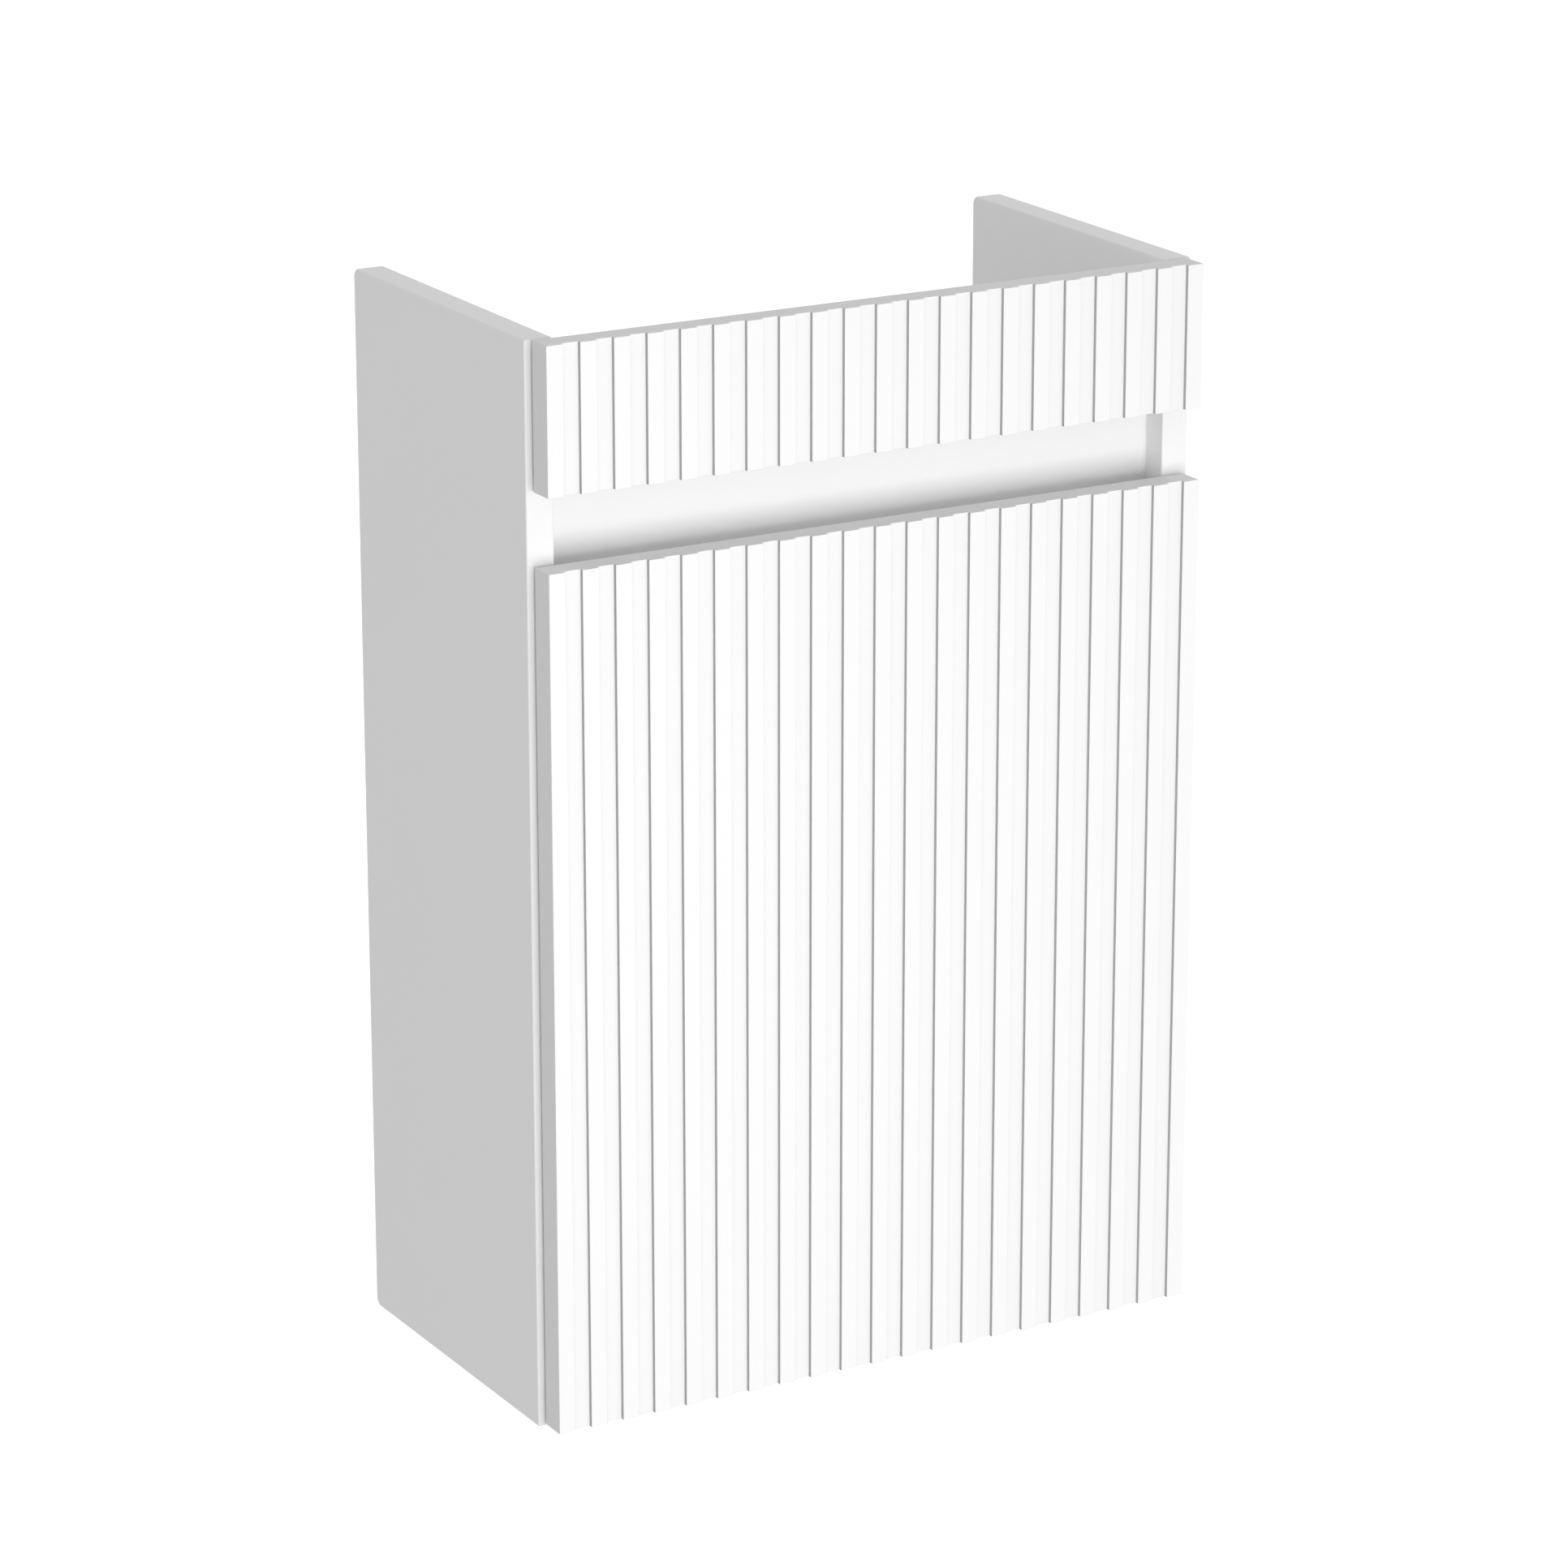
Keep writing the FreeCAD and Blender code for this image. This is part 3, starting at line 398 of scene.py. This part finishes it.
def addOutline(tree, given):
    # A line of points, folded into a square wave by their index and closed behind.
    # Two points make a strip, which is a ridge or a groove.
    strips = addNode(tree, "ShaderNodeMath", {
        "operation": "MULTIPLY_ADD", 0: given["Ridges"], 1: 2, 2: -1}).outputs[0]
    points = addNode(tree, "ShaderNodeMath", {
        "operation": "MULTIPLY_ADD", 0: strips, 1: 2, 2: 2}).outputs[0]
    line = addNode(tree, "GeometryNodeMeshLine", {"Count": points})
    index = addNode(tree, "GeometryNodeInputIndex").outputs["Index"]
    pair = addNode(tree, "ShaderNodeMath", {"operation": "DIVIDE", 0: index, 1: 2}).outputs[0]
    strip = addNode(tree, "ShaderNodeMath", {"operation": "FLOOR", 0: pair}).outputs[0]
    far = addNode(tree, "ShaderNodeMath", {
        "operation": "MULTIPLY_ADD", 0: strip, 1: -2, 2: index}).outputs[0]
    # The last two points lie on the back, one at the far end and one back at the start
    last = addNode(tree, "ShaderNodeMath", {"operation": "SUBTRACT", 0: strips, 1: 0.5}).outputs[0]
    behind = addNode(tree, "ShaderNodeMath", {
        "operation": "GREATER_THAN", 0: strip, 1: last}).outputs[0]
    closing = addNode(tree, "ShaderNodeMath", {
        "operation": "MULTIPLY", 0: behind, 1: far}).outputs[0]
    stays = addNode(tree, "ShaderNodeMath", {"operation": "SUBTRACT", 0: 1, 1: closing}).outputs[0]
    width = addNode(tree, "ShaderNodeMath", {
        "operation": "DIVIDE", 0: given["Width"], 1: strips}).outputs[0]
    step = addNode(tree, "ShaderNodeMath", {"operation": "ADD", 0: strip, 1: far}).outputs[0]
    run = addNode(tree, "ShaderNodeMath", {"operation": "MULTIPLY", 0: step, 1: width}).outputs[0]
    across = addNode(tree, "ShaderNodeMath", {
        "operation": "MULTIPLY", 0: run, 1: stays}).outputs[0]
    # Every second strip is a groove
    odd = addNode(tree, "ShaderNodeMath", {"operation": "MODULO", 0: strip, 1: 2}).outputs[0]
    groove = addNode(tree, "ShaderNodeMath", {
        "operation": "MULTIPLY", 0: odd, 1: given["Flute Depth"]}).outputs[0]
    front = addNode(tree, "ShaderNodeMath", {
        "operation": "SUBTRACT", 0: groove, 1: given["Thickness"]}).outputs[0]
    ahead = addNode(tree, "ShaderNodeMath", {"operation": "SUBTRACT", 0: 1, 1: behind}).outputs[0]
    depth = addNode(tree, "ShaderNodeMath", {
        "operation": "MULTIPLY", 0: front, 1: ahead}).outputs[0]
    spot = addNode(tree, "ShaderNodeCombineXYZ", {"X": across, "Y": depth}).outputs["Vector"]
    folded = addNode(tree, "GeometryNodeSetPosition", {
        "Geometry": line.outputs["Mesh"], "Position": spot})
    curve = addNode(tree, "GeometryNodeMeshToCurve", {"Mesh": folded.outputs["Geometry"]})
    return addNode(tree, "GeometryNodeSetSplineCyclic", {
        "Cyclic": True, "Geometry": curve.outputs["Curve"]}).outputs["Geometry"]


def addPanel(tree, given, outline):
    # The outline filled, drawn up to the panel's height and closed underneath
    foot = addNode(tree, "GeometryNodeFillCurve", {
        "mode": "NGONS", "Curve": outline}).outputs["Mesh"]
    drawn = addNode(tree, "GeometryNodeExtrudeMesh", {
        "Offset": (0, 0, 1), "Individual": False, "Mesh": foot, "Offset Scale": given["Height"]})
    under = addNode(tree, "GeometryNodeFlipFaces", {"Mesh": foot})
    whole = addNode(tree, "GeometryNodeJoinGeometry")
    tree.links.new(drawn.outputs["Mesh"], whole.inputs[0])
    tree.links.new(under.outputs["Mesh"], whole.inputs[0])
    return addNode(tree, "GeometryNodeMergeByDistance", {
        "Distance": frontShape["weld"] * mm,
        "Geometry": whole.outputs["Geometry"]}).outputs["Geometry"]


def addBores(tree, given, panel):
    # The drill reaches out of the back as far as it goes in
    places = addNode(tree, "GeometryNodeMeshLine", {
        "Count": given["Bores"], "Start Location": given["First Bore"],
        "Offset": given["Bore Step"]})
    length = addNode(tree, "ShaderNodeMath", {
        "operation": "MULTIPLY", 0: given["Bore Depth"], 1: 2}).outputs[0]
    drill = addNode(tree, "GeometryNodeMeshCylinder", {
        "Vertices": frontShape["boreSides"], "Radius": given["Bore Radius"], "Depth": length})
    drills = addNode(tree, "GeometryNodeInstanceOnPoints", {
        "Rotation": (math.pi / 2, 0, 0), "Points": places.outputs["Mesh"],
        "Instance": drill.outputs["Mesh"]})
    real = addNode(tree, "GeometryNodeRealizeInstances", {"Geometry": drills.outputs["Instances"]})
    return addNode(tree, "GeometryNodeMeshBoolean", {
        "operation": "DIFFERENCE", "solver": "EXACT", 0: panel,
        1: real.outputs["Geometry"]}).outputs["Mesh"]


def addFlankMarks(tree, given, panel):
    # The flank attribute is 1 on the grooves' sides and less on the panel's own ends, top and
    # bottom. It sets painted shade there, as well as a duller sheen.
    normal = addNode(tree, "GeometryNodeInputNormal").outputs["Normal"]
    position = addNode(tree, "GeometryNodeInputPosition").outputs["Position"]
    facing = addNode(tree, "ShaderNodeSeparateXYZ", {"Vector": normal}).outputs
    spot = addNode(tree, "ShaderNodeSeparateXYZ", {"Vector": position}).outputs
    aside = addNode(tree, "ShaderNodeMath", {"operation": "ABSOLUTE", 0: facing["X"]}).outputs[0]
    upright = addNode(tree, "ShaderNodeMath", {"operation": "ABSOLUTE", 0: facing["Z"]}).outputs[0]
    steep = addNode(tree, "ShaderNodeMath", {
        "operation": "GREATER_THAN", 0: aside, 1: frontShape["squareness"]}).outputs[0]
    flat = addNode(tree, "ShaderNodeMath", {
        "operation": "GREATER_THAN", 0: upright, 1: frontShape["squareness"]}).outputs[0]
    half = addNode(tree, "ShaderNodeMath", {
        "operation": "MULTIPLY", 0: given["Width"], 1: 0.5}).outputs[0]
    off = addNode(tree, "ShaderNodeMath", {
        "operation": "SUBTRACT", 0: spot["X"], 1: half}).outputs[0]
    fromMiddle = addNode(tree, "ShaderNodeMath", {"operation": "ABSOLUTE", 0: off}).outputs[0]
    limit = addNode(tree, "ShaderNodeMath", {
        "operation": "SUBTRACT", 0: half, 1: frontShape["endStrip"] * mm}).outputs[0]
    inGroove = addNode(tree, "ShaderNodeMath", {
        "operation": "LESS_THAN", 0: fromMiddle, 1: limit}).outputs[0]
    ends = given["End Painted Shade"]
    more = addNode(tree, "ShaderNodeMath", {"operation": "SUBTRACT", 0: 1, 1: ends}).outputs[0]
    share = addNode(tree, "ShaderNodeMath", {
        "operation": "MULTIPLY_ADD", 0: inGroove, 1: more, 2: ends}).outputs[0]
    sides = addNode(tree, "ShaderNodeMath", {
        "operation": "MULTIPLY", 0: steep, 1: share}).outputs[0]
    # painted shade on the panel's top and bottom faces, as on its ends
    caps = addNode(tree, "ShaderNodeMath", {"operation": "MULTIPLY", 0: flat, 1: ends}).outputs[0]
    paintedShade = addNode(tree, "ShaderNodeMath", {
        "operation": "MAXIMUM", 0: sides, 1: caps}).outputs[0]
    return addNode(tree, "GeometryNodeStoreNamedAttribute", {
        "data_type": "FLOAT", "domain": "FACE", "Name": "flankDullAndShade", "Geometry": panel,
        "Value": paintedShade}).outputs["Geometry"]


def makeFluteTree():
    tree, given = newTree("flutedPanel", {
        "Width": "Float", "Height": "Float", "Thickness": "Float", "Corner": "Vector",
        "Ridges": "Int", "Flute Depth": "Float", "End Painted Shade": "Float",
        "Bores": "Int", "Bore Radius": "Float", "Bore Depth": "Float", "First Bore": "Vector",
        "Bore Step": "Vector", "Finish": "Material"})
    panel = addPanel(tree, given, addOutline(tree, given))
    marked = addFlankMarks(tree, given, addBores(tree, given, panel))
    placed = addNode(tree, "GeometryNodeTransform", {
        "Geometry": marked, "Translation": given["Corner"]})
    closeTree(tree, placed.outputs["Geometry"], given["Finish"])
    return tree


def fluteFront(node, name, tree, cups=()):
    # cups are the hinge cups that sit in the front's back, at equal distances
    low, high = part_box(node)
    corner = Vector((low.x, high.y, low.z))
    middles = [(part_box(cup)[0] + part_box(cup)[1]) / 2 - corner for cup in cups]
    for middle in middles:
        middle.y = 0       # the drill starts on the panel's back
    piece = growPiece(name, bpy.data.meshes.new(name), tree, {
        "Width": high.x - low.x,
        "Height": high.z - low.z,
        "Thickness": high.y - low.y,
        "Corner": corner,
        "Ridges": frontShape["ridges"],
        "Flute Depth": frontShape["fluteDepth"] * mm,
        "End Painted Shade": frontShape["endPaintedShade"],
        "Bores": len(cups),
        "Bore Radius": frontShape["boreRadius"] * mm,
        "Bore Depth": frontShape["boreDepth"] * mm,
        "First Bore": middles[0] if middles else Vector(),
        "Bore Step": middles[1] - middles[0] if middles else Vector(),
        "Finish": finishes["white_front"],
    })
    addBevel(piece, frontShape["edgeRadius"], frontShape["edgeSegments"], frontShape["edgeAngle"])
    piece = bakeMesh(piece)
    piece.data.shade_smooth()
    return bakeSmooth(piece)


fluteTree = makeFluteTree()
fronts = {
    "door": fluteFront("door", "flutedDoor", fluteTree, ("lower_hinge_cup", "upper_hinge_cup")),
    "fixed_front_panel": fluteFront("fixed_front_panel", "flutedPanel", fluteTree),
}
print("fluted fronts made,", len(fronts["door"].data.polygons), "faces on the door")


# Screws: pan heads with a cross, on the seats of the frame's screws

screwShape = {
    "domePower": 3.0,      # of the head's curve: 2 is an ellipse, more has a squarer shoulder
    "headSides": 48,
    "headRings": 24,
    "seatZone": 0.01,      # of the radius: the ball's points below this height lie on the seat
    "rootShare": 0.25,     # of the head's height, how far the shank reaches up into it
    "crossLength": 4.0,    # mm
    "crossWidth": 1.0,     # mm
    "crossDepth": 1.2,     # mm
    "edgeRadius": 0.08,    # mm, along the cross and under the head
    "edgeSegments": 2,
    "edgeAngle": 50,       # degrees
}
screwKinds = {             # sizes in mm, and outward is where the head looks
    "fixed_panel_screws": {"outward": (0, 1, 0), "headHeight": 2.4, "shankRadius": 2.0},
    "hinge_cup_screws": {"outward": (0, 1, 0), "headHeight": 1.4, "shankRadius": 1.75},
    "hinge_plate_screws": {"outward": (-1, 0, 0), "headHeight": 1.8, "shankRadius": 2.4},
    "hinge_adjust_screws": {"outward": (-1, 0, 0), "headHeight": 0.8, "shankRadius": 2.8},
}


def addHead(tree, given):
    # A ball whose upper half becomes the dome and whose lower half is pressed flat on the seat
    ball = addNode(tree, "GeometryNodeMeshUVSphere", {
        "Segments": screwShape["headSides"], "Rings": screwShape["headRings"], "Radius": 1.0})
    position = addNode(tree, "GeometryNodeInputPosition").outputs["Position"]
    spot = addNode(tree, "ShaderNodeSeparateXYZ", {"Vector": position}).outputs
    level = addNode(tree, "ShaderNodeCombineXYZ", {
        "X": spot["X"], "Y": spot["Y"]}).outputs["Vector"]
    reach = addNode(tree, "ShaderNodeVectorMath", {
        "operation": "LENGTH", 0: level}).outputs["Value"]
    power = screwShape["domePower"]
    fall = addNode(tree, "ShaderNodeMath", {"operation": "POWER", 0: reach, 1: power}).outputs[0]
    left = addNode(tree, "ShaderNodeMath", {
        "operation": "SUBTRACT", 0: 1, 1: fall, "use_clamp": True}).outputs[0]
    rise = addNode(tree, "ShaderNodeMath", {
        "operation": "POWER", 0: left, 1: 1 / power}).outputs[0]
    above = addNode(tree, "ShaderNodeMath", {
        "operation": "GREATER_THAN", 0: spot["Z"], 1: screwShape["seatZone"]}).outputs[0]
    domed = addNode(tree, "ShaderNodeMath", {
        "operation": "MULTIPLY", 0: rise, 1: above}).outputs[0]
    shape = addNode(tree, "ShaderNodeCombineXYZ", {"X": spot["X"], "Y": spot["Y"], "Z": domed})
    size = addNode(tree, "ShaderNodeCombineXYZ", {
        "X": given["Head Radius"], "Y": given["Head Radius"], "Z": given["Head Height"]})
    sized = addNode(tree, "ShaderNodeVectorMath", {
        "operation": "MULTIPLY", 0: shape.outputs["Vector"],
        1: size.outputs["Vector"]}).outputs["Vector"]
    return addNode(tree, "GeometryNodeSetPosition", {
        "Geometry": ball.outputs["Mesh"], "Position": sized}).outputs["Geometry"]


def makeScrewTree():
    # One screw with its seat at the origin and its head up, then one on every point,
    # turned outward
    tree, given = newTree("panHeadScrews", {
        "Outward": "Vector", "Head Radius": "Float", "Head Height": "Float",
        "Shank Radius": "Float", "Shank Length": "Float", "Cross Length": "Float",
        "Cross Width": "Float", "Cross Depth": "Float", "Finish": "Material"})
    lift = addNode(tree, "ShaderNodeMath", {
        "operation": "MULTIPLY", 0: given["Head Height"], 1: screwShape["rootShare"]}).outputs[0]
    length = addNode(tree, "ShaderNodeMath", {
        "operation": "ADD", 0: given["Shank Length"], 1: lift}).outputs[0]
    drop = addNode(tree, "ShaderNodeMath", {
        "operation": "MULTIPLY_ADD", 0: length, 1: -0.5, 2: lift}).outputs[0]
    shank = addNode(tree, "GeometryNodeMeshCylinder", {
        "Vertices": screwShape["headSides"], "Radius": given["Shank Radius"], "Depth": length})
    under = addNode(tree, "ShaderNodeCombineXYZ", {"Z": drop}).outputs["Vector"]
    lowered = addNode(tree, "GeometryNodeTransform", {
        "Geometry": shank.outputs["Mesh"], "Translation": under})
    body = addNode(tree, "GeometryNodeMeshBoolean", {"operation": "UNION", "solver": "EXACT"})
    tree.links.new(addHead(tree, given), body.inputs[1])
    tree.links.new(lowered.outputs["Geometry"], body.inputs[1])
    # The cross is two bars that reach out of the head as far as they go in
    tall = addNode(tree, "ShaderNodeMath", {
        "operation": "MULTIPLY", 0: given["Cross Depth"], 1: 2}).outputs[0]
    top = addNode(tree, "ShaderNodeCombineXYZ", {"Z": given["Head Height"]}).outputs["Vector"]
    crossed = addNode(tree, "GeometryNodeMeshBoolean", {
        "operation": "DIFFERENCE", "solver": "EXACT", 0: body.outputs["Mesh"]})
    for along, aside in (("Cross Length", "Cross Width"), ("Cross Width", "Cross Length")):
        size = addNode(tree, "ShaderNodeCombineXYZ", {
            "X": given[along], "Y": given[aside], "Z": tall})
        bar = addNode(tree, "GeometryNodeMeshCube", {"Size": size.outputs["Vector"]})
        raised = addNode(tree, "GeometryNodeTransform", {
            "Geometry": bar.outputs["Mesh"], "Translation": top})
        tree.links.new(raised.outputs["Geometry"], crossed.inputs[1])
    turn = addNode(tree, "FunctionNodeAlignRotationToVector", {
        "axis": "Z", "Vector": given["Outward"]})
    placed = addNode(tree, "GeometryNodeInstanceOnPoints", {
        "Points": given["Geometry"], "Instance": crossed.outputs["Mesh"],
        "Rotation": turn.outputs["Rotation"]})
    closeTree(tree, placed.outputs["Instances"], given["Finish"])
    return tree


def solidBoxes(node):
    # Lowest and highest corner of each loose solid of a node, in a fixed order
    shape = weldedShape(node)
    boxes = []
    waiting = set(shape.verts)
    while waiting:
        solid = [waiting.pop()]
        for vert in solid:
            near = {edge.other_vert(vert) for edge in vert.link_edges} & waiting
            waiting -= near
            solid.extend(near)
        low = tuple(min(vert.co[axis] for vert in solid) for axis in range(3))
        high = tuple(max(vert.co[axis] for vert in solid) for axis in range(3))
        boxes.append((low, high))
    shape.free()
    return [(Vector(low), Vector(high)) for low, high in sorted(boxes)]


def placeScrews(node, tree):
    kind = screwKinds[node]
    outward = Vector(kind["outward"])
    axis = [abs(part) for part in outward].index(1)
    boxes = solidBoxes(node)
    seats = []
    for low, high in boxes:
        seat = (low + high) / 2
        top = high[axis] if outward[axis] > 0 else low[axis]
        seat[axis] = top - outward[axis] * kind["headHeight"] * mm
        seats.append(seat)
    size = boxes[0][1] - boxes[0][0]
    radius = min(part for place, part in enumerate(size) if place != axis) / 2
    points = bpy.data.meshes.new(node)
    points.from_pydata(seats, [], [])
    piece = growPiece(node + "_panhead", points, tree, {
        "Outward": outward,
        "Head Radius": radius,
        "Head Height": kind["headHeight"] * mm,
        "Shank Radius": kind["shankRadius"] * mm,
        "Shank Length": size[axis] - kind["headHeight"] * mm,
        "Cross Length": screwShape["crossLength"] * mm,
        "Cross Width": screwShape["crossWidth"] * mm,
        "Cross Depth": screwShape["crossDepth"] * mm,
        "Finish": finishes[slotOf[node]],
    })
    addBevel(piece, screwShape["edgeRadius"], screwShape["edgeSegments"], screwShape["edgeAngle"])
    piece = bakeMesh(piece)
    piece.data.shade_smooth()
    return bakeSmooth(piece)


# Boards and hardware: welded copies of the frame's solids, whose sharp edges get a small radius

copyShape = {
    "flatBelow": 0.5,      # degrees between faces that become one
    "smoothBelow": 35,     # degrees between faces that still shade as one
    "edgeSegments": 2,
    "edgeRadius": {        # mm, for each material slot
        "white_board": 0.4,
        "zinc_casting": 0.25,
        "zinc_screws": 0.2,
        "hinge_steel": 0.12,
        "spring_steel": 0.15,
        "white_caps": 0.3,
        "grey_spacers": 0.3,
        "clear_bumpers": 0.3,
        "beech": 0.4,
    },
}


def softCopy(node):
    mesh = frame["nodes"][node].data.copy()
    limit = math.radians(copyShape["smoothBelow"])
    shape = weldedShape(node)
    bmesh.ops.dissolve_limit(shape, angle_limit=math.radians(copyShape["flatBelow"]),
                             verts=shape.verts, edges=shape.edges)
    for face in shape.faces:
        face.smooth = True
    for edge in shape.edges:
        edge.smooth = len(edge.link_faces) == 2 and edge.calc_face_angle() < limit
    shape.to_mesh(mesh)
    shape.free()
    piece = newObject(node + "_soft", mesh)
    radius = copyShape["edgeRadius"][slotOf[node]]
    addBevel(piece, radius, copyShape["edgeSegments"], copyShape["smoothBelow"])
    return bakeSmooth(bakeMesh(piece))


screwTree = makeScrewTree()
copies = {}
for node in frame["nodes"]:
    if node in screwKinds:
        copies[node] = placeScrews(node, screwTree)
    elif node not in fronts:
        copies[node] = softCopy(node)
faceCount = sum(len(piece.data.polygons) for piece in copies.values())
print("boards and hardware made,", faceCount, "faces")


# Riding

for node, piece in {**fronts, **copies}.items():
    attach(piece, bodyOf[node])
    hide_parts(node)
print("pieces ride on their bodies")


# Room, light and camera

def addSeen(tree):
    # 1 for rays from the camera, for reflections and for rays through clear plastic
    ray = addNode(tree, "ShaderNodeLightPath").outputs
    mirrored = addNode(tree, "ShaderNodeMath", {
        "operation": "MAXIMUM", 0: ray["Is Camera Ray"], 1: ray["Is Glossy Ray"]})
    return addNode(tree, "ShaderNodeMath", {
        "operation": "MAXIMUM", 0: mirrored.outputs[0], 1: ray["Is Transmission Ray"]}).outputs[0]


floorValues = {
    "drop": 2500,          # mm from the underside, low enough to look at the underside
    "size": 40.0,          # m
    "colour": "#C8C8C8",
    "glow": 0.80,          # only where it is seen, so it reads as white and keeps its shadow
}


def makeFloor():
    half = floorValues["size"] / 2
    level = cadBox[0][2] - floorValues["drop"] * mm
    sides = [(-half, -half), (half, -half), (half, half), (-half, half)]
    mesh = bpy.data.meshes.new("floor")
    mesh.from_pydata([(x, y, level) for x, y in sides], [], [(0, 1, 2, 3)])
    material, tree = newMaterial("paleFloor")
    glow = addNode(tree, "ShaderNodeMath", {
        "operation": "MULTIPLY", 0: addSeen(tree), 1: floorValues["glow"]})
    matt = addNode(tree, "ShaderNodeBsdfDiffuse", {"Color": hexColour(floorValues["colour"])})
    light = addNode(tree, "ShaderNodeEmission", {"Strength": glow.outputs[0]})
    both = addNode(tree, "ShaderNodeAddShader", {0: matt.outputs[0], 1: light.outputs[0]})
    addNode(tree, "ShaderNodeOutputMaterial", {"Surface": both.outputs[0]})
    mesh.materials.append(material)
    newObject("floor", mesh)


skyValues = {
    "colour": "#FFFFFF",
    "horizon": 0.785,      # strength, for light that falls on the object
    "overhead": 0.52,
    "seen": 1.0,           # strength that the camera and reflections see
}


def makeSky():
    # White for the camera, and brighter from the sides than from above, as between studio walls
    world = bpy.data.worlds.new("studio")
    bpy.context.scene.world = world
    world.use_nodes = True
    tree = world.node_tree
    tree.nodes.clear()
    direction = addNode(tree, "ShaderNodeTexCoord").outputs["Generated"]
    way = addNode(tree, "ShaderNodeSeparateXYZ", {"Vector": direction})
    lit = addNode(tree, "ShaderNodeMapRange", {
        "To Min": skyValues["horizon"], "To Max": skyValues["overhead"],
        "Value": way.outputs["Z"]})
    level = addNode(tree, "ShaderNodeMix", {
        "data_type": "FLOAT", 0: addSeen(tree), 2: lit.outputs["Result"], 3: skyValues["seen"]})
    sky = addNode(tree, "ShaderNodeBackground", {
        "Color": hexColour(skyValues["colour"]), "Strength": level.outputs[0]})
    addNode(tree, "ShaderNodeOutputWorld", {"Surface": sky.outputs["Background"]})


softBoxValues = {
    "power": 25.2,         # W
    "size": (1.4, 1.1),    # m
    "place": (-0.12, -2.3, 0.2),
    "aim": (0.0, -0.2, 0.3),
}


def makeSoftBox():
    # Wide and low in front: it fills the finger channel and leaves the channel's foot in shade
    lamp = bpy.data.lights.new("softBox", "AREA")
    lamp.shape = "RECTANGLE"
    lamp.energy = softBoxValues["power"]
    lamp.size, lamp.size_y = softBoxValues["size"]
    pointAt(newObject("softBox", lamp), softBoxValues["place"], softBoxValues["aim"])


cameraValues = {
    "place": (-1.5136, -2.7663, 1.2622),
    "aim": (-0.0954, -0.2785, 0.3681),
    "lens": 132.93,        # mm
    "sensor": 36.0,        # mm
}


def makeCamera():
    data = bpy.data.cameras.new("camera")
    data.lens = cameraValues["lens"]
    data.sensor_width = cameraValues["sensor"]
    camera = newObject("camera", data)
    pointAt(camera, cameraValues["place"], cameraValues["aim"])
    bpy.context.scene.camera = camera


makeFloor()
makeSky()
makeSoftBox()
makeCamera()
bpy.context.scene.view_settings.view_transform = "Standard"
print("room, light and camera made")
